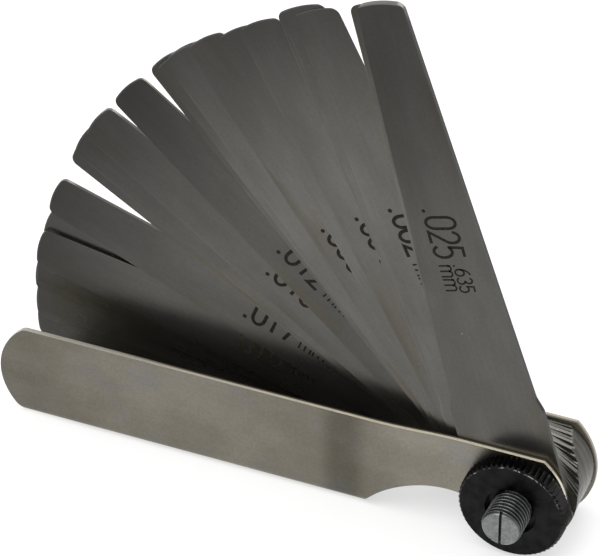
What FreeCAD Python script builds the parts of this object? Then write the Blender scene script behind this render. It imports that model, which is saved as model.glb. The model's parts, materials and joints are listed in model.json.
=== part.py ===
import FreeCAD, Part
import math
import os

Vector = FreeCAD.Vector

# All sizes are millimetres. X runs along the case, from its tail to the pivot end.
# Y runs along the pivot screw, from the nut to the head. Z is up from the floor.
# The origin is the middle of the flat underside of the folded case.

inch = 25.4

# Case, folded from one strip of sheet steel
sheet = 0.70
case_height = 14.5
channel_width = 11.4
fold_radius = 1.5
tail_reach = 75.2
tail_radius = 8.9
tail_corner_radius = 1.6
pivot_height = 7.6
ear_lift = 0.25
bite_radius = 14.3
bite_setback = 10.4
bite_drop = 8.45
bend_start = 20.4
bend_length = 13.0

# The sides of the case: the radius of the ear round the pivot, how far the ear's middle
# is set back from the pivot and is below it, and how far the tail reaches from the pivot
front_side = (9.15, 2.5, 0.2, tail_reach)
back_side = (10.3, 2.8, 0.4, 74.4)

# Blades, from the front of the stack to the back
blade_gap = 0.0125
base_half_width = 6.6
base_reach = 13.3
neck_half_width = 6.0
neck_reach = 15.3
tip_half_width = 3.2
tip_radius = 11.5
tip_corner_radius = 1.2
heel_reach = 7.3
heel_radius = 7.8
heel_corner_radius = 0.6
shoulder_radius = 1.6
hole_clearance = 0.05

# Thickness in inches, the angle that the blade stands at, in degrees above the line
# from the pivot away from the tail, and the reach of its tip from the pivot
blades = [
    (0.025, 106.4, 74.5),
    (0.0015, 107.35, 74.25),
    (0.002, 113.7, 74.2),
    (0.0025, 114.95, 74.95),
    (0.003, 115.4, 74.9),
    (0.004, 120.4, 74.25),
    (0.005, 123.05, 74.2),
    (0.006, 127.15, 74.65),
    (0.007, 126.8, 74.2),
    (0.008, 130.6, 74.6),
    (0.009, 130.45, 74.65),
    (0.010, 132.3, 74.25),
    (0.011, 133.25, 74.6),
    (0.012, 139.8, 74.4),
    (0.013, 146.0, 74.2),
    (0.014, 146.2, 74.25),
    (0.015, 149.25, 74.2),
    (0.016, 150.8, 74.0),
    (0.017, 158.9, 73.85),
    (0.018, 166.8, 73.7),
    (0.019, 164.0, 73.6),
    (0.020, 169.8, 73.65),
    (0.021, 171.1, 73.9),
    (0.022, 174.3, 73.65),
    (0.023, 175.5, 73.95),
    (0.024, 178.3, 74.0),
]

# Pivot screw
shank_radius = 2.75
screw_reach = 7.05
screw_end_chamfer = 0.35
slot_width = 0.6
slot_depth = 0.9
head_radius = 4.8
head_height = 1.2
head_edge = 0.5

# Washer and knurled lock nut
washer_radius = 6.2
washer_thickness = 0.5
nut_thickness = 2.6
nut_radius = 7.4
nut_chamfer = 0.35
knurl_depth = 0.32
knurl_count = 60
counterbore_radius = 3.6
counterbore_depth = 0.9

# Places worked out from the sizes above
stack = sum(thickness for thickness, angle, reach in blades) * inch
stack += (len(blades) + 1) * blade_gap
front = -stack / 2 - sheet
back = -front
hole_radius = shank_radius + hole_clearance
tail_corner = tail_radius - math.sqrt(tail_radius**2 - (case_height / 2)**2)
cusp_x = -bite_setback - math.sqrt(bite_radius**2 - bite_drop**2)
pivot_x = (tail_reach - tail_corner - cusp_x) / 2
pivot = Vector(pivot_x, 0, pivot_height)
along_y = Vector(0, 1, 0)


def at(x, z, y=0):
    """A point given by its distance from the pivot along X and its height above the floor."""
    return Vector(pivot_x + x, y, z)


def arc(start, middle, end):
    return Part.Arc(start, middle, end).toShape()


def line(start, end):
    return Part.LineSegment(start, end).toShape()


def cylinder(radius, y_start, y_end):
    """A cylinder on the pivot's line."""
    return Part.makeCylinder(radius, y_end - y_start, Vector(pivot_x, y_start, pivot_height), along_y)


def solid_from(edges, direction):
    wire = Part.Wire(Part.__sortEdges__(edges))
    return Part.Face(wire).extrude(direction)


def side_outline(side, y_start, y_end):
    """The outline of one side of the case as a prism."""
    ear_radius, ear_setback, ear_drop, reach = side
    tail_corner_x = tail_corner - reach
    ear_height = pivot_height - ear_drop
    ear_top = math.sqrt(ear_radius**2 - (case_height - ear_height)**2) - ear_setback
    ear_bottom = math.sqrt(ear_radius**2 - (ear_height - ear_lift)**2) - ear_setback
    bite_end = math.sqrt(bite_radius**2 - (bite_drop + ear_lift)**2) - bite_setback
    cusp = at(cusp_x, 0)
    tail_low = at(tail_corner_x, 0)
    tail_apex = at(-reach, case_height / 2)
    tail_high = at(tail_corner_x, case_height)
    ear_high = at(ear_top, case_height)
    ear_end = at(ear_radius - ear_setback, ear_height)
    ear_low = at(ear_bottom, ear_lift)
    bite_low = at(bite_end, ear_lift)
    bite_high = at(-bite_setback, bite_radius - bite_drop)
    edges = [
        line(cusp, tail_low),
        arc(tail_low, tail_apex, tail_high),
        line(tail_high, ear_high),
        arc(ear_high, ear_end, ear_low),
        line(ear_low, bite_low),
        arc(bite_low, bite_high, cusp),
    ]
    prism = solid_from(edges, Vector(0, y_end - y_start, 0))
    prism.translate(Vector(0, y_start, 0))
    corners = []
    for edge in prism.Edges:
        middle = edge.BoundBox.Center
        spans = edge.BoundBox.YLength > sheet
        if spans and abs(middle.x - pivot_x - tail_corner_x) < sheet:
            corners.append(edge)
    return prism.makeFillet(tail_corner_radius, corners)


def side_plate(sign):
    """One side of the case before it is trimmed. It bends in to meet the blades at the pivot."""
    outer = sign * channel_width / 2
    drawn = sign * back
    inner = sign * sheet
    start = -bend_start
    end = bend_length - bend_start
    half = (start + end) / 2
    quarter = (channel_width / 2 - back) / 8
    shape = [
        (-tail_reach - sheet, outer),
        (start, outer),
        (half - bend_length / 4, outer - sign * quarter),
        (half, (outer + drawn) / 2),
        (half + bend_length / 4, drawn + sign * quarter),
        (end, drawn),
        (channel_width, drawn),
    ]
    far = [at(x, 0, y) for x, y in shape]
    near = [at(x, 0, y - inner) for x, y in shape]
    edges = [line(far[0], near[0]), line(far[6], near[6])]
    for side in (far, near):
        edges.append(line(side[0], side[1]))
        edges.append(arc(side[1], side[2], side[3]))
        edges.append(arc(side[3], side[4], side[5]))
        edges.append(line(side[5], side[6]))
    return solid_from(edges, Vector(0, 0, case_height))


def folded_spine():
    """The trough that joins the two sides along the bottom."""
    length = tail_reach + sheet - bend_start
    start = Vector(pivot_x - tail_reach - sheet, -channel_width / 2, 0)
    inner_radius = fold_radius - sheet
    outside = Part.makeBox(length, channel_width, 2 * fold_radius, start)
    bends = [e for e in outside.Edges if e.BoundBox.XLength > sheet and e.BoundBox.ZMax < sheet]
    outside = outside.makeFillet(fold_radius, bends)
    inner_start = start + Vector(-sheet, sheet, sheet)
    inside = Part.makeBox(length + 2 * sheet, channel_width - 2 * sheet, 2 * fold_radius, inner_start)
    bends = [e for e in inside.Edges if e.BoundBox.XLength > sheet and e.BoundBox.ZMax < 2 * sheet]
    inside = inside.makeFillet(inner_radius, bends)
    above = Part.makeBox(length, channel_width, fold_radius, start + Vector(0, 0, fold_radius))
    return outside.cut(inside).cut(above)


def case():
    below = Part.makeBox(
        tail_reach + sheet - bend_start,
        channel_width,
        fold_radius,
        Vector(pivot_x - tail_reach - sheet, -channel_width / 2, 0),
    )
    sides = [side_plate(sign).cut(below) for sign in (-1, 1)]
    shape = folded_spine().multiFuse(sides).removeSplitter()
    outer = channel_width / 2
    inside_fold = fold_radius - outer
    outline = side_outline(front_side, -outer, inside_fold)
    outline = outline.fuse(side_outline(back_side, inside_fold, outer))
    shape = shape.common(outline).removeSplitter()
    front_hole = cylinder(hole_radius, -channel_width, 0)
    back_hole = cylinder(shank_radius, 0, channel_width)
    return shape.cut(front_hole).cut(back_hole)


def blade_outline(reach):
    """A blade's outline lying along X from the pivot, as a face in the plane y = 0."""
    tip_drop = tip_radius - math.sqrt(tip_radius**2 - tip_half_width**2)
    heel_drop = heel_radius - math.sqrt(heel_radius**2 - base_half_width**2)
    tip = Vector(reach, 0, 0)
    heel = Vector(-heel_reach, 0, 0)
    ends = []
    edges = []
    for side in (1, -1):
        heel_corner = Vector(heel_drop - heel_reach, 0, side * base_half_width)
        shoulder = Vector(base_reach, 0, side * base_half_width)
        neck = Vector(neck_reach, 0, side * neck_half_width)
        tip_corner = Vector(reach - tip_drop, 0, side * tip_half_width)
        edges.append(line(heel_corner, shoulder))
        edges.append(line(shoulder, neck))
        edges.append(line(neck, tip_corner))
        ends.append((heel_corner, tip_corner))
    edges.append(arc(ends[0][0], heel, ends[1][0]))
    edges.append(arc(ends[0][1], tip, ends[1][1]))
    return Part.Face(Part.Wire(Part.__sortEdges__(edges)))


def rounded(shape, x_start, x_end, radius):
    """Rounds the corners through the blade that lie between two places along it."""
    chosen = []
    for edge in shape.Edges:
        box = edge.BoundBox
        through = box.XLength < blade_gap and box.ZLength < blade_gap
        if through and x_start < box.Center.x < x_end:
            chosen.append(edge)
    return shape.makeFillet(radius, chosen)


def blade(thickness, angle, reach, y_start):
    shape = blade_outline(reach).extrude(Vector(0, thickness, 0))
    shape = rounded(shape, -heel_reach, 0, heel_corner_radius)
    shape = rounded(shape, base_reach - sheet, neck_reach + sheet, shoulder_radius)
    shape = rounded(shape, neck_reach + sheet, reach, tip_corner_radius)
    hole = Part.makeCylinder(hole_radius, thickness, Vector(0, 0, 0), along_y)
    shape = shape.cut(hole)
    shape.rotate(Vector(0, 0, 0), along_y, -angle)
    shape.translate(Vector(pivot_x, y_start, pivot_height))
    return shape


def ring_profile(points):
    """A solid turned about the pivot's line from (radius, y) points."""
    corners = [Vector(pivot_x + radius, y, pivot_height) for radius, y in points]
    face = Part.Face(Part.makePolygon(corners + [corners[0]]))
    return face.revolve(pivot, along_y, 360)


def pivot_screw():
    tip = front - screw_reach
    top = back + head_height
    body = ring_profile([
        (0, tip),
        (shank_radius - screw_end_chamfer, tip),
        (shank_radius, tip + screw_end_chamfer),
        (shank_radius, back),
        (head_radius, back),
        (head_radius, top - head_edge),
        (head_radius - head_edge, top),
        (0, top),
    ])
    slot_start = Vector(pivot_x - slot_width / 2, tip, pivot_height - head_radius)
    slot = Part.makeBox(slot_width, slot_depth, 2 * head_radius, slot_start)
    return body.cut(slot)


def washer():
    ring = cylinder(washer_radius, front - washer_thickness, front)
    return ring.cut(cylinder(hole_radius, front - washer_thickness, front))


def knurled_blank(y_start, y_end):
    """A disc with straight V grooves all round its rim."""
    corners = []
    for step in range(2 * knurl_count):
        turn = math.pi * step / knurl_count
        radius = nut_radius - knurl_depth * (step % 2)
        corners.append(Vector(
            pivot_x + radius * math.cos(turn),
            y_start,
            pivot_height + radius * math.sin(turn),
        ))
    face = Part.Face(Part.makePolygon(corners + [corners[0]]))
    return face.extrude(Vector(0, y_end - y_start, 0))


def lock_nut():
    seat = front - washer_thickness
    face = seat - nut_thickness
    rim = ring_profile([
        (0, face),
        (nut_radius - nut_chamfer, face),
        (nut_radius, face + nut_chamfer),
        (nut_radius, seat - nut_chamfer),
        (nut_radius - nut_chamfer, seat),
        (0, seat),
    ])
    body = knurled_blank(face, seat).common(rim)
    body = body.cut(cylinder(hole_radius, face, seat))
    return body.cut(cylinder(counterbore_radius, face, face + counterbore_depth))


def save(shape, node):
    shape.exportStep("parts/" + node + ".step")


os.makedirs("parts", exist_ok=True)
save(case(), "case")
save(pivot_screw(), "pivot_screw")
save(washer(), "washer")
save(lock_nut(), "lock_nut")
blade_y = front + sheet
for inches, angle, reach in blades:
    blade_y += blade_gap
    thickness = inches * inch
    save(blade(thickness, angle, reach, blade_y), "blade_{:04d}".format(round(inches * 10000)))
    blade_y += thickness
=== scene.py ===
import json
import math

import bmesh
import bpy
from mathutils import Matrix, Vector


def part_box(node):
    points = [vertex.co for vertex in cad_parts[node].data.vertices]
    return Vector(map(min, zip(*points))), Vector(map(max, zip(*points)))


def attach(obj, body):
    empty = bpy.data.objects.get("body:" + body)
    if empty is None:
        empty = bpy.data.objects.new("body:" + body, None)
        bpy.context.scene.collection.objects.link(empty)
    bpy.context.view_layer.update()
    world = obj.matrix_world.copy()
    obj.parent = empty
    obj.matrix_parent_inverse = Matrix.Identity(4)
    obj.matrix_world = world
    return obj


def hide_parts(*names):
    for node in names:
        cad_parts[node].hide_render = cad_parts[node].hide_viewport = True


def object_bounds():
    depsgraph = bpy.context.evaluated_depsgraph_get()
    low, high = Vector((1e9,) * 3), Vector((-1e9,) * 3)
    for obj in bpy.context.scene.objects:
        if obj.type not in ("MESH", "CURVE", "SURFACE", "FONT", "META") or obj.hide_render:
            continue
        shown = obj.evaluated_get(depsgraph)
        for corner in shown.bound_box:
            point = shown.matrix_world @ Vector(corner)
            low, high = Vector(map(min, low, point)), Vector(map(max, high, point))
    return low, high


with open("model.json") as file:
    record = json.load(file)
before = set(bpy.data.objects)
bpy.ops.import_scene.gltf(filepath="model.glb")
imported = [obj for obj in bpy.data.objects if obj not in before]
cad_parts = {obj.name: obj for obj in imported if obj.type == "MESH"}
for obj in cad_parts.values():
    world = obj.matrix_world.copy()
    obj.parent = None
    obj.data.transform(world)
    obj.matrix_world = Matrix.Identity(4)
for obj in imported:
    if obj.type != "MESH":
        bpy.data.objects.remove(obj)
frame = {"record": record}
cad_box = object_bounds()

MM = 0.001

# Camera: where it looks from, in degrees and millimetres
azimuth = 22.67
elevation = 37.07
lens = 236.74
distance = 517.3
aim_shift = (0.73, 2.78, -9.14)

# Studio: the lit table, and each lamp's place in metres, its size and its power
world_strength = 0.85
table_half_size = 3.0
table_tone = 0.4
table_glow = 0.57
lamp_target = (0.0, 0.0, 0.03)
lamps = {
    "overhead": ((-0.35, -0.25, 1.1), 1.5, 13.0),
    "behind": ((0.3, 0.9, 0.8), 1.1, 6.0),
}

# Screw: its thread, slot and head
thread_depth = 0.3
crest_cut = 1.25
end_chamfer = 0.4
slot_width = 0.38
slot_depth = 0.5
cutter_length = 20.0
head_height = 1.2
head_edge = 0.45
head_edge_steps = 6
turn_steps = 96
rows_per_pitch = 12

# Blade: its outline, the painted highlight round its tip, and where its heel ends
neck_half_width = 6.0
neck_reach = 15.3
blade_taper = 0.048
tip_radius = 11.5
tip_highlight_front = 0.16
tip_highlight_fan = 0.12
tip_length = 2.0
heel_fade = (12.0, 17.0)
front_size = "0250"

# Brightness of each blade that isn't plain
blade_tones = {
    "0250": 0.86,
    "0110": 0.8,
    "0120": 0.66,
    "0130": 0.84,
    "0140": 0.84,
    "0150": 0.84,
    "0160": 0.84,
    "0170": 0.8,
    "0180": 0.85,
}

# Case: its sheet, where its sides bend in to the stack, and the dark band across it
sheet = 0.7
bend_start = -20.4
bend_end = -7.4
band_middle = -24.6
band_fade = (0.8, 4.2)

# Nut: how far inside its rim the ring of painted glints is, and where the grooved rim with its painted
# shade starts
ring_inset = 0.36
groove_inset = 0.3

# Etched numbers, in the blade's own directions: along it from the pivot, and across it
dot_along = 44.0
number_gap = 0.75
big_baseline = 1.9
big_height = 4.1
big_width = 3.05
big_stroke = 0.42
fan_stroke = 0.5
small_baseline = -0.2
small_height = 2.05
small_width = 1.75
small_stroke = 0.26
unit_baseline = 1.85
unit_height = 2.7
unit_width = 2.95
etch_proud = 0.006
etch_sunk = 0.01

# Steps from one sign to the next as parts of its width, and the dot's radius as a part of the stroke
sign_step = 0.72
dot_step = 0.32
dot_radius = 0.62
dot_sides = 12

# Degrees from point to point of a round stroke
arc_step = 15

# How far each number that shows is from its usual place: along the blade and across it
number_shifts = {
    "0250": (0.3, 0.35),
    "0020": (0.5, -0.2),
    "0040": (0.3, 0.0),
    "0060": (0.4, 0.6),
    "0120": (0.95, 0.0),
    "0130": (-0.1, -0.35),
    "0170": (-0.5, -0.15),
}

# From this size to the thickest blade of the fan, the numbers are worn
worn_from = 180

# How far a blade's noise is moved from the last blade's, so that no two look alike
noise_step = (97.0, 13.0, 31.0)


# ---------------------------------------------------------------- places

def corners(node):
    low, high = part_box(node)
    return Vector(low), Vector(high)


def middle(node):
    low, high = corners(node)
    return (low + high) / 2


def from_pivot(vertex):
    """How far a vertex is from the screw's line, in metres."""
    return math.hypot(vertex.co.x - pivot.x, vertex.co.z - pivot.z)


def blade_reach(node):
    """How far a blade's tip is from the pivot, in millimetres."""
    return max(from_pivot(vertex) for vertex in bpy.data.objects[node].data.vertices) / MM


def screw_shank():
    """The screw's radius in front of the case's front side."""
    vertices = bpy.data.objects["pivot_screw"].data.vertices
    return max(from_pivot(vertex) for vertex in vertices if vertex.co.y < seat)


def screw_end():
    return corners("pivot_screw")[0].y


def stack_half_width():
    """How far the stack of blades reaches from the middle of the case, in millimetres."""
    return max(abs(corner.y) for node in swings for corner in corners(node)) / MM


def on_blade(along, across, angle, y):
    """A point of a blade that stands at this angle, from millimetres along and across it."""
    x = along * math.cos(angle) - across * math.sin(angle)
    z = along * math.sin(angle) + across * math.cos(angle)
    return Vector((pivot.x + x * MM, y, pivot.z + z * MM))


def size_of(node):
    """The blade's thickness in ten-thousandths of an inch, as its name has it."""
    return node.split("_")[1]


pivot = middle("washer")
pivot.y = 0.0
seat = corners("washer")[1].y
behaviour = frame["record"]["behaviour"]
thread_pitch = 2 * math.pi / behaviour["couplings"][0]["ratio"]
swings = {
    joint["child"]: math.radians(joint["range_deg"][1])
    for joint in behaviour["joints"]
    if joint["name"].endswith("_swing")
}


# ---------------------------------------------------------------- shader help

def new_material(name):
    material = bpy.data.materials.new(name)
    material.use_nodes = True
    tree = material.node_tree
    return material, tree, tree.nodes["Principled BSDF"]


def connect(tree, made, socket, value):
    if isinstance(value, bpy.types.NodeSocket):
        tree.links.new(value, made.inputs[socket])
    else:
        made.inputs[socket].default_value = value


def add(tree, kind, inputs=None, **settings):
    made = tree.nodes.new("ShaderNode" + kind)
    for name, value in settings.items():
        setattr(made, name, value)
    for socket, value in (inputs or {}).items():
        connect(tree, made, socket, value)
    return made


def calc(tree, operation, first, second=0.0):
    return add(tree, "Math", {0: first, 1: second}, operation=operation).outputs[0]


def product(tree, first, *others):
    for other in others:
        first = calc(tree, "MULTIPLY", first, other)
    return first


def rest_of_one(tree, value):
    return calc(tree, "SUBTRACT", 1.0, value)


def fade(tree, value, low, high, start=0.0, end=1.0):
    """A smooth change from start to end as the value goes from low to high."""
    inputs = {"Value": value, "From Min": low, "From Max": high, "To Min": start, "To Max": end}
    return add(tree, "MapRange", inputs, interpolation_type="SMOOTHSTEP").outputs["Result"]


def stretched(tree, vector, scale):
    return add(tree, "VectorMath", {0: vector, 1: scale}, operation="MULTIPLY").outputs[0]


def noise(tree, vector, scale, detail=3.0, roughness=0.55):
    moved = stretched(tree, vector, scale)
    inputs = {"Vector": moved, "Scale": 1.0, "Detail": detail, "Roughness": roughness}
    return add(tree, "TexNoise", inputs).outputs["Fac"]


def mixed(tree, factor, first, second):
    """A mix of two colours. The colour mix node's sockets are 0, 6 and 7, and its result is 2."""
    return add(tree, "Mix", {0: factor, 6: first, 7: second}, data_type="RGBA").outputs[2]


def mixed_value(tree, factor, first, second):
    return add(tree, "Mix", {0: factor, 2: first, 3: second}).outputs[0]


def scaled(tree, colour, factor):
    return add(tree, "VectorMath", {0: colour, "Scale": factor}, operation="SCALE").outputs[0]


def tinted(value, red=1.0, blue=1.0):
    """A grey of this brightness with its red and blue raised or lowered."""
    return (value * red, value, value * blue, 1.0)


def length(tree, x, z):
    flat = add(tree, "CombineXYZ", {0: x, 1: z}).outputs[0]
    return add(tree, "VectorMath", {0: flat}, operation="LENGTH").outputs["Value"]


def part_place(tree, angle=0.0):
    """The place on the part in millimetres from the pivot, turned so that X runs along the blade."""
    place = add(tree, "TexCoord").outputs["Object"]
    away = add(tree, "VectorMath", {0: place, 1: pivot}, operation="SUBTRACT").outputs[0]
    inputs = {"Vector": away, "Axis": (0, 1, 0), "Angle": angle}
    turned = add(tree, "VectorRotate", inputs, rotation_type="AXIS_ANGLE").outputs[0]
    return stretched(tree, turned, (1 / MM, 1 / MM, 1 / MM))


def split(tree, vector):
    """The three coordinates of a vector."""
    return add(tree, "SeparateXYZ", {0: vector}).outputs


def edge_mask(tree, radius):
    """1 on edges and 0 on flat faces, from how far a rounded edge would turn the surface."""
    soft = add(tree, "Bevel", {"Radius": radius * MM}, samples=6).outputs[0]
    plain = add(tree, "NewGeometry").outputs["Normal"]
    dot = add(tree, "VectorMath", {0: soft, 1: plain}, operation="DOT_PRODUCT").outputs["Value"]
    return fade(tree, rest_of_one(tree, dot), 0.02, 0.25)


def side_mask(tree):
    """1 on faces that look along the part's sides, and 0 on the broad faces across the screw."""
    normal = add(tree, "NewGeometry").outputs["Normal"]
    return fade(tree, calc(tree, "ABSOLUTE", split(tree, normal)["Y"]), 0.6, 0.3)


def bump(tree, shader, height, strength, depth, radius=None):
    inputs = {"Height": height, "Strength": strength, "Distance": depth * MM}
    if radius:
        inputs["Normal"] = add(tree, "Bevel", {"Radius": radius * MM}, samples=6).outputs[0]
    made = add(tree, "Bump", inputs)
    tree.links.new(made.outputs[0], shader.inputs["Normal"])


def finish(tree, shader, colour, metallic, roughness):
    for socket, value in (("Base Color", colour), ("Metallic", metallic), ("Roughness", roughness)):
        connect(tree, shader, socket, value)


# ---------------------------------------------------------------- blade steel

def tone_with_painted_reflection(tree, along, patches, grain, cloth, front_blade):
    """The face's brightness: a painted reflection that darkens towards the tip, with patches, grain and a
    cloth-like speckle.
    """
    bright_from = 16.0 if front_blade else 46.0
    return product(
        tree,
        # Painted reflection: darker towards the tip, brighter towards the pivot.
        fade(tree, along, 78.0, bright_from, 0.38, 1.0),
        fade(tree, patches, 0.3, 0.7, 0.9, 1.1),
        fade(tree, grain, 0.25, 0.75, 0.95, 1.05),
        fade(tree, cloth, 0.3, 0.7, 0.96, 1.04),
    )


def blade_face(tree, stains, tone, brightness):
    plain = tinted(0.113 * brightness, 1.02, 0.93)
    brown = tinted(0.105 * brightness, 1.09, 0.87)
    return scaled(tree, mixed(tree, fade(tree, stains, 0.45, 0.75), plain, brown), tone)


def from_long_edge(tree, along, across):
    """How far a place on the face is inside the blade's tapered long edges."""
    whole = neck_half_width + neck_reach * blade_taper
    inputs = {0: along, 1: -blade_taper, 2: whole}
    half_width = add(tree, "Math", inputs, operation="MULTIPLY_ADD").outputs[0]
    return calc(tree, "SUBTRACT", half_width, calc(tree, "ABSOLUTE", across))


def painted_tip_highlight(tree, along, across, reach, front_blade):
    """How much painted highlight lies on the rim of the tip."""
    from_tip = length(tree, calc(tree, "SUBTRACT", along, reach - tip_radius), across)
    rim = tip_radius - (tip_highlight_front if front_blade else tip_highlight_fan)
    at_tip = calc(tree, "GREATER_THAN", along, reach - tip_length)
    return product(tree, fade(tree, from_tip, rim - 0.12, rim), at_tip, 0.3 if front_blade else 0.08)


def painted_blade_sides(tree, along, patches, reach, front_blade):
    """The narrow faces, all painted light and shade: painted dark along the blade, a painted highlight
    round the tip and painted streaky light on the heel.
    """
    past_heel = fade(tree, along, *heel_fade)
    before_tip = fade(tree, along, reach - 1.0, reach - 3.0)
    round_tip = fade(tree, along, reach - 3.0, reach - 1.0)
    heel = rest_of_one(tree, past_heel)
    # Painted shade on the front blade's heel side.
    if front_blade:
        heel = product(tree, heel, 0.35)
    long_side_shade = product(tree, past_heel, before_tip, 0.045)
    tip_side_highlight = product(tree, past_heel, round_tip, 0.17)
    heel_side_light = product(tree, heel, fade(tree, patches, 0.3, 0.7, 0.055, 0.12))
    tone = calc(tree, "ADD", calc(tree, "ADD", long_side_shade, tip_side_highlight), heel_side_light)
    # Painted shade on narrow faces turned outward along X.
    outward = split(tree, add(tree, "NewGeometry").outputs["Normal"])["X"]
    tone = product(tree, tone, fade(tree, outward, 0.75, 1.0, 1.0, 0.6))
    return scaled(tree, tinted(1.0, 1.04, 0.88)[:3], tone)


def bright_specks(tree, place):
    cells = add(tree, "TexVoronoi", {"Vector": place, "Scale": 0.22})
    speck = fade(tree, cells.outputs["Distance"], 0.032, 0.014)
    chosen = add(tree, "SeparateColor", {0: cells.outputs["Color"]}).outputs[0]
    return product(tree, speck, calc(tree, "GREATER_THAN", chosen, 0.72), 0.4)


def blade_steel(node, angle, seed):
    front_blade = size_of(node) == front_size
    reach = blade_reach(node)
    material, tree, shader = new_material("steel_" + node)
    place = part_place(tree, angle)
    along, _, across = split(tree, place)
    moved = tuple(seed * step for step in noise_step)
    here = add(tree, "VectorMath", {0: place, 1: moved}).outputs[0]
    patches = noise(tree, here, (0.06, 0.3, 0.14), 4.0)
    stains = noise(tree, here, (0.04, 0.3, 0.2), 3.0)
    grain = noise(tree, here, (0.12, 1.0, 5.0), 4.0, 0.7)
    cloth = noise(tree, here, (2.2, 2.2, 2.2), 3.0, 0.6)

    tone = tone_with_painted_reflection(tree, along, patches, grain, cloth, front_blade)
    colour = blade_face(tree, stains, tone, blade_tones.get(size_of(node), 1.0))
    inside = from_long_edge(tree, along, across)
    grime = product(tree, fade(tree, inside, 1.7, 0.2), fade(tree, stains, 0.52, 0.66, 0.0, 0.5))
    colour = mixed(tree, grime, colour, scaled(tree, tinted(0.078, 1.12, 0.74)[:3], tone))
    worn = product(tree, fade(tree, inside, 0.16, 0.04), 0.07, fade(tree, patches, 0.4, 0.65))
    # Painted highlight on the rim of the tip.
    tip = painted_tip_highlight(tree, along, across, reach, front_blade)
    colour = mixed(tree, calc(tree, "MAXIMUM", worn, tip), colour, tinted(0.36))
    colour = mixed(tree, side_mask(tree), colour, painted_blade_sides(tree, along, patches, reach, front_blade))
    colour = mixed(tree, bright_specks(tree, here), colour, tinted(0.4))

    smear = noise(tree, here, (0.09, 0.3, 0.25), 3.0)
    finish(tree, shader, colour, 0.9, fade(tree, smear, 0.25, 0.75, 0.25, 0.33))
    bump(tree, shader, calc(tree, "ADD", grain, cloth), 0.2, 0.008)
    return material


# ---------------------------------------------------------------- case steel

def case_face(tree, place, along, brushed, pitted):
    """Nickel plate with clouds of dull and clean metal, a dark band across the case, and painted light
    where the sides bend in.
    """
    clouds = noise(tree, place, (0.09, 0.2, 0.13), 4.0)
    hue = noise(tree, place, (0.16, 0.3, 0.2), 3.0)
    dull = tinted(0.158, 1.08, 0.81)
    clean = tinted(0.192, 1.07, 0.84)
    colour = mixed(tree, fade(tree, clouds, 0.35, 0.68), dull, clean)
    colour = mixed(tree, fade(tree, hue, 0.52, 0.72, 0.0, 0.6), colour, tinted(0.172, 1.02, 0.97))
    from_band = calc(tree, "ABSOLUTE", calc(tree, "SUBTRACT", along, band_middle))
    tone = product(
        tree,
        fade(tree, brushed, 0.25, 0.75, 0.975, 1.025),
        fade(tree, pitted, 0.3, 0.7, 0.92, 1.08),
        fade(tree, from_band, *band_fade, 0.62, 1.0),
        # Painted light: brighter from where the sides bend in towards the pivot.
        fade(tree, along, -21.0, -14.0, 1.0, 1.22),
        fade(tree, along, -74.0, -56.0, 0.72, 1.0),
    )
    return scaled(tree, colour, tone)


def case_depth(tree, along, across):
    """How far a place is inside the case's outer faces, which bend in towards the stack."""
    low, high = corners("case")
    half_width = (high.y - low.y) / 2 / MM
    bend = half_width - stack_half_width() - sheet
    depth = calc(tree, "SUBTRACT", half_width, calc(tree, "ABSOLUTE", across))
    return calc(tree, "SUBTRACT", depth, fade(tree, along, bend_start, bend_end, 0.0, bend))


def case_inside(tree, along):
    # Painted light: the inner faces are pale towards the open tail. They are also darker towards the
    # pivot.
    tail = tinted(0.9, 1.0, 0.86)
    rest = tinted(0.26, 1.12, 0.8)
    colour = mixed(tree, fade(tree, along, -74.0, -60.0), tail, rest)
    return scaled(tree, colour, fade(tree, along, -10.0, 0.0, 1.0, 0.8))


def case_edge(tree, along, across, depth):
    """The cut edge: cream, partly the bare steel's own colour and partly a painted highlight, dimmer on
    the rear side as painted shade, with a brown burr on its inner corner.
    """
    tail = tinted(0.32, 1.06, 0.86)
    rest = tinted(0.62, 1.1, 0.78)
    cream = mixed(tree, fade(tree, along, -70.0, -20.0), tail, rest)
    # Painted shade: the rear side's cut edge is dimmer.
    cream = scaled(tree, cream, fade(tree, across, 0.0, 1.0, 1.0, 0.45))
    at_corner = fade(tree, depth, sheet * 0.5, sheet * 0.68)
    burr = product(tree, at_corner, fade(tree, along, -66.0, -45.0))
    return mixed(tree, burr, cream, tinted(0.05, 1.2, 0.7))


def case_steel():
    material, tree, shader = new_material("case_nickel")
    place = part_place(tree)
    along, across, up = split(tree, place)
    brushed = noise(tree, place, (0.16, 0.5, 2.6), 4.0, 0.65)
    pitted = noise(tree, place, (2.6, 2.6, 2.6), 4.0, 0.7)
    colour = case_face(tree, place, along, brushed, pitted)

    depth = case_depth(tree, along, across)
    flank = rest_of_one(tree, side_mask(tree))
    inner = product(tree, flank, calc(tree, "GREATER_THAN", depth, sheet * 0.5))
    colour = mixed(tree, inner, colour, case_inside(tree, along))
    above_spine = fade(tree, up, -7.2, -6.2)
    cut = product(tree, side_mask(tree), above_spine, fade(tree, pitted, 0.2, 0.6, 0.75, 1.0))
    colour = mixed(tree, cut, colour, case_edge(tree, along, across, depth))
    # Painted highlight on the case's edges, broken by the brushing.
    edge_wear_and_highlight = product(tree, edge_mask(tree, 0.08), fade(tree, brushed, 0.35, 0.6, 0.0, 0.3))
    colour = mixed(tree, edge_wear_and_highlight, colour, tinted(0.4, 1.05, 0.86))

    plain = calc(tree, "MAXIMUM", cut, product(tree, inner, 0.4))
    metallic = rest_of_one(tree, product(tree, plain, 0.75))
    smear = noise(tree, place, (0.15, 0.3, 0.3), 3.0)
    finish(tree, shader, colour, metallic, fade(tree, smear, 0.3, 0.7, 0.3, 0.38))
    bump(tree, shader, calc(tree, "ADD", brushed, pitted), 0.3, 0.012, 0.08)
    return material


# ---------------------------------------------------------------- other materials

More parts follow.
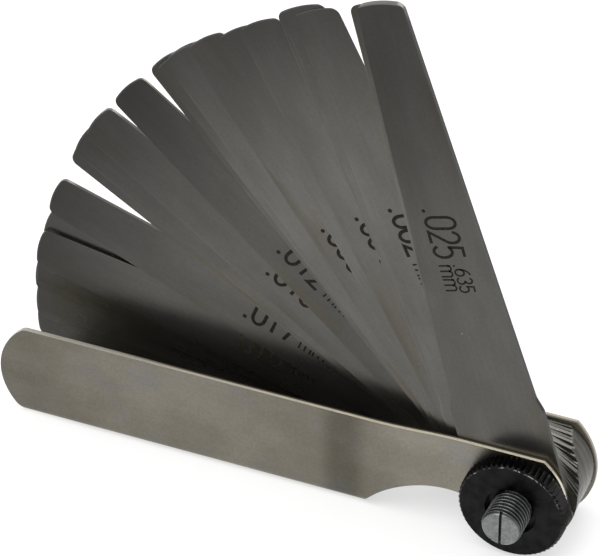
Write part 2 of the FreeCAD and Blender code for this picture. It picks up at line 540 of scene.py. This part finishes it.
def bright_ring(tree, place, radius, rim, front):
    """Broken glints on the upper half of the nut's front edge."""
    from_ring = calc(tree, "ABSOLUTE", calc(tree, "SUBTRACT", radius, rim - ring_inset))
    broken = noise(tree, place, (1.7, 1.7, 1.7), 3.0, 0.7)
    _, across, up = split(tree, place)
    return product(
        tree,
        fade(tree, from_ring, 0.1, 0.03),
        fade(tree, broken, 0.48, 0.66),
        fade(tree, up, 0.0, 5.5),
        fade(tree, across, front + 0.2, front + 0.1),
    )


def nut_black():
    material, tree, shader = new_material("black_oxide")
    place = part_place(tree)
    x, _, z = split(tree, place)
    radius = length(tree, x, z)
    low, high = corners("lock_nut")
    rim = (high.x - low.x) / 2 / MM
    mottle = noise(tree, place, (0.8, 0.8, 0.8), 4.0)
    colour = mixed(tree, fade(tree, mottle, 0.3, 0.7), tinted(0.009), tinted(0.016, 1.0, 1.04))
    # Painted shade: the knurled rim is darker than the face.
    groove_shade = fade(tree, radius, rim - ring_inset, rim - groove_inset, 1.0, 0.75)
    colour = scaled(tree, colour, groove_shade)
    # Worn edges of the oxide that also carry a painted highlight.
    edge_wear_and_highlight = product(tree, edge_mask(tree, 0.1), fade(tree, mottle, 0.35, 0.6, 0.05, 0.4))
    colour = mixed(tree, edge_wear_and_highlight, colour, tinted(0.12, 1.0, 1.04))
    glints = bright_ring(tree, place, radius, rim, low.y / MM)
    colour = mixed(tree, glints, colour, tinted(0.3))
    finish(tree, shader, colour, 1.0, fade(tree, mottle, 0.3, 0.7, 0.26, 0.4))
    bump(tree, shader, noise(tree, place, (6.0, 6.0, 6.0), 3.0), 0.25, 0.03, 0.06)
    return material


def painted_thread_shading(tree, place):
    """The thread is painted darker than the screw's ends as painted shade, and darkest between its crests
    with painted shade and dirt in the roots; its crests keep a painted highlight.
    """
    x, along, z = split(tree, place)
    radius = length(tree, x, z)
    shank = screw_shank() / MM
    end = screw_end() / MM
    threaded = product(tree, fade(tree, along, end + 0.1, end + 0.4), calc(tree, "LESS_THAN", along, 0.0))
    on_thread = calc(tree, "GREATER_THAN", radius, shank - thread_depth - 0.05)
    # Painted shade with dirt in the thread's roots.
    between = fade(tree, radius, shank - 0.04, shank - thread_depth, 0.0, 0.85)
    root_shade_and_dirt = rest_of_one(tree, product(tree, between, on_thread, threaded))
    # Painted shade over the whole thread, with a painted highlight on its crests.
    thread_shade_and_crest_highlight = fade(tree, radius, shank - 0.1, shank - 0.01, 0.16, 0.7)
    return product(tree, root_shade_and_dirt, mixed_value(tree, threaded, 1.0, thread_shade_and_crest_highlight))


def screw_steel():
    material, tree, shader = new_material("bright_zinc")
    place = part_place(tree)
    mottle = noise(tree, place, (0.9, 0.9, 0.9), 5.0, 0.65)
    speckle = noise(tree, place, (5.0, 5.0, 5.0), 3.0, 0.6)
    dull = tinted(0.16, 0.96, 0.97)
    clean = tinted(0.25, 0.97, 1.0)
    colour = mixed(tree, fade(tree, mottle, 0.3, 0.7), dull, clean)
    tone = product(tree, fade(tree, speckle, 0.3, 0.7, 0.85, 1.12), painted_thread_shading(tree, place))
    finish(tree, shader, scaled(tree, colour, tone), 1.0, fade(tree, mottle, 0.3, 0.7, 0.2, 0.36))
    bump(tree, shader, noise(tree, place, (4.0, 4.0, 4.0), 4.0), 0.3, 0.04, 0.05)
    return material


def washer_steel():
    material, tree, shader = new_material("washer_steel")
    place = part_place(tree)
    mottle = noise(tree, place, (0.6, 0.6, 0.6), 4.0)
    dull = tinted(0.1, 1.03, 0.92)
    clean = tinted(0.16, 1.03, 0.92)
    colour = mixed(tree, fade(tree, mottle, 0.3, 0.7), dull, clean)
    finish(tree, shader, colour, 1.0, fade(tree, mottle, 0.3, 0.7, 0.3, 0.45))
    bump(tree, shader, noise(tree, place, (5.0, 5.0, 5.0), 3.0), 0.2, 0.02, 0.05)
    return material


def etched(name, deep, pale, metallic):
    material, tree, shader = new_material(name)
    patchy = noise(tree, part_place(tree), (3.0, 3.0, 3.0), 3.0)
    darker = tinted(deep, 1.2, 0.7)
    lighter = tinted(pale, 1.2, 0.7)
    colour = mixed(tree, fade(tree, patchy, 0.3, 0.7), darker, lighter)
    finish(tree, shader, colour, metallic, fade(tree, patchy, 0.3, 0.7, 0.4, 0.55))
    shader.inputs["Specular IOR Level"].default_value = 0.1
    bump(tree, shader, patchy, 0.2, 0.01)
    return material


def floor_white():
    """A lit table: it glows a little, so that the shadows on it stay faint."""
    material, tree, shader = new_material("floor_white")
    finish(tree, shader, tinted(table_tone), 0.0, 0.9)
    shader.inputs["Specular IOR Level"].default_value = 0.1
    shader.inputs["Emission Color"].default_value = tinted(1.0)
    shader.inputs["Emission Strength"].default_value = table_glow
    return material


# ---------------------------------------------------------------- objects

def set_material(node, material):
    for slot in bpy.data.objects[node].material_slots:
        slot.material = material


def made_mesh(shape, name):
    mesh = bpy.data.meshes.new(name)
    shape.to_mesh(mesh)
    shape.free()
    return mesh


def new_object(name, data):
    holder = bpy.data.objects.new(name, data)
    bpy.context.scene.collection.objects.link(holder)
    return holder


def new_piece(name, mesh, material):
    mesh.materials.append(material)
    return new_object(name, mesh)


# ---------------------------------------------------------------- numbers

def bow(x, z, wide, high, start, end):
    """Points of an elliptical arc between two angles in degrees."""
    count = max(2, round(abs(end - start) / arc_step))
    turns = [math.radians(start + (end - start) * i / count) for i in range(count + 1)]
    return [(x + wide * math.cos(turn), z + high * math.sin(turn)) for turn in turns]


def glyph_strokes():
    """Each sign as single strokes in a cell 0.56 wide and 1 high."""
    hoop = bow(0.28, 0.72, 0.28, 0.28, 180, 0) + bow(0.28, 0.28, 0.28, 0.28, 0, -180)
    six = [bow(0.28, 0.30, 0.28, 0.30, 180, 540), bow(0.56, 0.30, 0.56, 0.70, 180, 98)]
    return {
        ".": [[(0.0, 0.04)]],
        "0": [hoop + hoop[:1]],
        "1": [[(0.08, 0.78), (0.3, 1.0), (0.3, 0.0)]],
        "2": [bow(0.28, 0.72, 0.27, 0.28, 165, -42) + [(0.0, 0.0), (0.56, 0.0)]],
        "3": [bow(0.27, 0.76, 0.24, 0.24, 155, -90), bow(0.27, 0.26, 0.28, 0.26, 90, -155)],
        "4": [[(0.42, 0.0), (0.42, 1.0), (0.0, 0.28), (0.58, 0.28)]],
        "5": [[(0.52, 1.0), (0.08, 1.0), (0.05, 0.55)] + bow(0.26, 0.31, 0.29, 0.31, 130, -150)],
        "6": six,
        "7": [[(0.0, 1.0), (0.56, 1.0), (0.2, 0.0)]],
        "8": [bow(0.28, 0.76, 0.23, 0.24, -90, 270), bow(0.28, 0.26, 0.28, 0.26, 90, 450)],
        "9": [[(0.56 - x, 1.0 - z) for x, z in stroke] for stroke in six],
        "m": [
            [(0.0, 0.0), (0.0, 0.6)],
            [(0.0, 0.45)] + bow(0.14, 0.45, 0.14, 0.15, 180, 0) + [(0.28, 0.0)],
            [(0.28, 0.45)] + bow(0.42, 0.45, 0.14, 0.15, 180, 0) + [(0.56, 0.0)],
        ],
    }


glyphs = glyph_strokes()


def ribbon(points, width):
    """The outline of a stroke of this width, as left and right rows of points."""
    left = []
    right = []
    last = len(points) - 1
    for i, point in enumerate(points):
        before = points[max(i - 1, 0)]
        after = points[min(i + 1, last)]
        into = (point - before).normalized()
        out = (after - point).normalized()
        if i == 0:
            into = out
        if i == last:
            out = into
        middle_way = (into + out).normalized()
        side = Vector((-middle_way.y, middle_way.x))
        reach = width / 2 / max(0.5, middle_way.dot(into))
        left.append(point + side * reach)
        right.append(point - side * reach)
    return left, right


def add_dot(shape, place, point, width, front, back):
    turns = [2 * math.pi * i / dot_sides for i in range(dot_sides)]
    outline = [point + Vector((math.cos(t), math.sin(t))) * width * dot_radius for t in turns]
    tops = [place(spot, front) for spot in outline]
    lows = [place(spot, back) for spot in outline]
    shape.faces.new(tops)
    shape.faces.new(lows[::-1])
    for i in range(dot_sides):
        j = (i + 1) % dot_sides
        shape.faces.new((tops[i], lows[i], lows[j], tops[j]))


def add_stroke(shape, place, points, width, front, back):
    """A bar along the points, closed at both ends unless it comes back to its start."""
    rows = []
    for one, other in zip(*ribbon(points, width)):
        rows.append((place(one, front), place(other, front), place(other, back), place(one, back)))
    for first, second in zip(rows, rows[1:]):
        for i in range(4):
            j = (i + 1) % 4
            shape.faces.new((first[i], first[j], second[j], second[i]))
    if points[0] != points[-1]:
        shape.faces.new(rows[0])
        shape.faces.new(rows[-1])


def number_mesh(signs, angle, face):
    """Thin raised shapes on a blade's front face."""
    shape = bmesh.new()
    front = face - etch_proud * MM
    back = face + etch_sunk * MM

    def place(point, y):
        return shape.verts.new(on_blade(point.x, point.y, angle, y))

    for strokes, start, baseline, wide, high, width in signs:
        for stroke in strokes:
            points = [Vector((start - x * wide, baseline - z * high)) for x, z in stroke]
            if len(points) == 1:
                add_dot(shape, place, points[0], width, front, back)
            else:
                add_stroke(shape, place, points, width, front, back)
    bmesh.ops.remove_doubles(shape, verts=shape.verts, dist=1e-7)
    bmesh.ops.recalc_face_normals(shape, faces=shape.faces)
    return made_mesh(shape, "numbers")


def written(text, start, baseline, wide, high, width):
    """The signs of a text that reads from the blade's tip towards its pivot, and where it ends."""
    signs = []
    for letter in text:
        signs.append((glyphs[letter], start, baseline, wide, high, width))
        start -= wide * (dot_step if letter == "." else sign_step)
    return signs, start


def blade_numbers(node, angle, ink):
    size = size_of(node)
    inches = "." + size.rstrip("0").ljust(3, "0")
    metric = "{:.3f}".format(int(size) / 10000 * 25.4)[1:]
    stroke = big_stroke if size == front_size else fan_stroke
    along, across = number_shifts.get(size, (0.0, 0.0))
    first = dot_along + along
    big, end = written(inches, first, big_baseline + across, big_width, big_height, stroke)
    start = end - number_gap
    under = small_baseline + across
    small, _ = written(metric, start, under, small_width, small_height, small_stroke)
    unit, _ = written("mm", start, unit_baseline + across, unit_width, unit_height, small_stroke)
    mesh = number_mesh(big + small + unit, angle, corners(node)[0].y)
    piece = new_piece("numbers_" + size, mesh, ink)
    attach(piece, node)


# ---------------------------------------------------------------- screw

def thread_radius(y, turn, start, shank):
    """The thread's radius: a triangle wave cut flat at its crests, which runs out at the seat."""
    phase = ((y - start) / thread_pitch - turn / (2 * math.pi)) % 1.0
    ridge = min(1.0, crest_cut * (1 - abs(2 * phase - 1)))
    run_out = max(0.0, min(1.0, (seat - y) / thread_pitch))
    cone = shank - end_chamfer * MM + (y - start)
    return min(shank - thread_depth * MM * (1 - ridge) * run_out, cone)


def thread_rings(start, shank, turns):
    """Rings of (place along the screw, radius) from the free end to the nut's seat."""
    rows = math.ceil((seat - start) / thread_pitch * rows_per_pitch)
    rings = []
    for row in range(rows + 1):
        y = start + (seat - start) * row / rows
        rings.append([(y, thread_radius(y, turn, start, shank)) for turn in turns])
    return rings


def head_rings(top, head, shank):
    """Rings of the plain shank's end and the low head with its rounded edge."""
    under = top - head_height * MM
    edge = head_edge * MM
    outline = [(under, shank), (under, head), (top - edge, head)]
    for step in range(1, head_edge_steps + 1):
        turn = math.pi / 2 * step / head_edge_steps
        outline.append((top - edge + edge * math.sin(turn), head - edge + edge * math.cos(turn)))
    return [[spot] * turn_steps for spot in outline]


def skin(rings, turns, name):
    """A closed mesh through rings round the screw's axis."""
    shape = bmesh.new()
    made = []
    for ring in rings:
        made.append([
            shape.verts.new((pivot.x + radius * math.cos(turn), y, pivot.z + radius * math.sin(turn)))
            for (y, radius), turn in zip(ring, turns)
        ])
    for one, other in zip(made, made[1:]):
        for i in range(turn_steps):
            j = (i + 1) % turn_steps
            shape.faces.new((one[i], one[j], other[j], other[i]))
    shape.faces.new(made[0])
    shape.faces.new(made[-1])
    bmesh.ops.recalc_face_normals(shape, faces=shape.faces)
    return made_mesh(shape, name)


def slot_cutter(end):
    shape = bmesh.new()
    bmesh.ops.create_cube(shape, size=1.0)
    size = Vector((slot_width, 2 * slot_depth, cutter_length)) * MM
    bmesh.ops.transform(shape, matrix=Matrix.Diagonal((*size, 1.0)), verts=shape.verts)
    bmesh.ops.translate(shape, vec=Vector((pivot.x, end, pivot.z)), verts=shape.verts)
    return new_object("slot_cutter", made_mesh(shape, "slot_cutter"))


def cut_slot(piece, end):
    cutter = slot_cutter(end)
    modifier = piece.modifiers.new("slot", "BOOLEAN")
    modifier.operation = "DIFFERENCE"
    modifier.solver = "EXACT"
    modifier.object = cutter
    graph = bpy.context.evaluated_depsgraph_get()
    mesh = bpy.data.meshes.new_from_object(piece.evaluated_get(graph))
    piece.modifiers.clear()
    piece.data = mesh
    bpy.data.meshes.remove(cutter.data)


def screw(material):
    low, high = corners("pivot_screw")
    head = (high.x - low.x) / 2
    shank = screw_shank()
    turns = [2 * math.pi * i / turn_steps for i in range(turn_steps)]
    rings = thread_rings(low.y, shank, turns) + head_rings(high.y, head, shank)
    piece = new_piece("threaded_screw", skin(rings, turns, "screw"), material)
    cut_slot(piece, low.y)
    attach(piece, "case")
    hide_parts("pivot_screw")


# ---------------------------------------------------------------- studio

def floor():
    shape = bmesh.new()
    bmesh.ops.create_grid(shape, x_segments=1, y_segments=1, size=table_half_size)
    piece = new_piece("floor", made_mesh(shape, "floor"), floor_white())


def facing(away):
    return away.to_track_quat("Z", "Y").to_euler()


def lights():
    world = bpy.data.worlds.new("studio")
    world.use_nodes = True
    background = world.node_tree.nodes["Background"]
    background.inputs["Color"].default_value = tinted(1.0)
    background.inputs["Strength"].default_value = world_strength
    bpy.context.scene.world = world
    for name, (place, size, power) in lamps.items():
        light = bpy.data.lights.new(name, "AREA")
        light.shape = "DISK"
        light.size = size
        light.energy = power
        holder = new_object(name, light)
        holder.location = place
        holder.rotation_euler = facing(Vector(place) - Vector(lamp_target))


def camera():
    low, high = (Vector(corner) for corner in cad_box)
    aim = (low + high) / 2 + Vector(aim_shift) * MM
    turn = math.radians(azimuth)
    rise = math.radians(elevation)
    away = Vector((
        math.sin(turn) * math.cos(rise),
        -math.cos(turn) * math.cos(rise),
        math.sin(rise),
    ))
    data = bpy.data.cameras.new("camera")
    data.lens = lens
    holder = new_object("camera", data)
    holder.location = aim + away * distance * MM
    holder.rotation_euler = facing(away)
    bpy.context.scene.camera = holder


# ---------------------------------------------------------------- build

camera()
lights()
floor()
bpy.context.scene.view_settings.view_transform = "Standard"

set_material("case", case_steel())
set_material("washer", washer_steel())
set_material("lock_nut", nut_black())
screw(screw_steel())
dark_ink = etched("etched_dark", 0.008, 0.018, 0.5)
worn_ink = etched("etched_worn", 0.038, 0.066, 0.9)
for count, (node, angle) in enumerate(swings.items()):
    worn = worn_from <= int(size_of(node)) < int(front_size)
    set_material(node, blade_steel(node, angle, count + 1))
    blade_numbers(node, angle, worn_ink if worn else dark_ink)
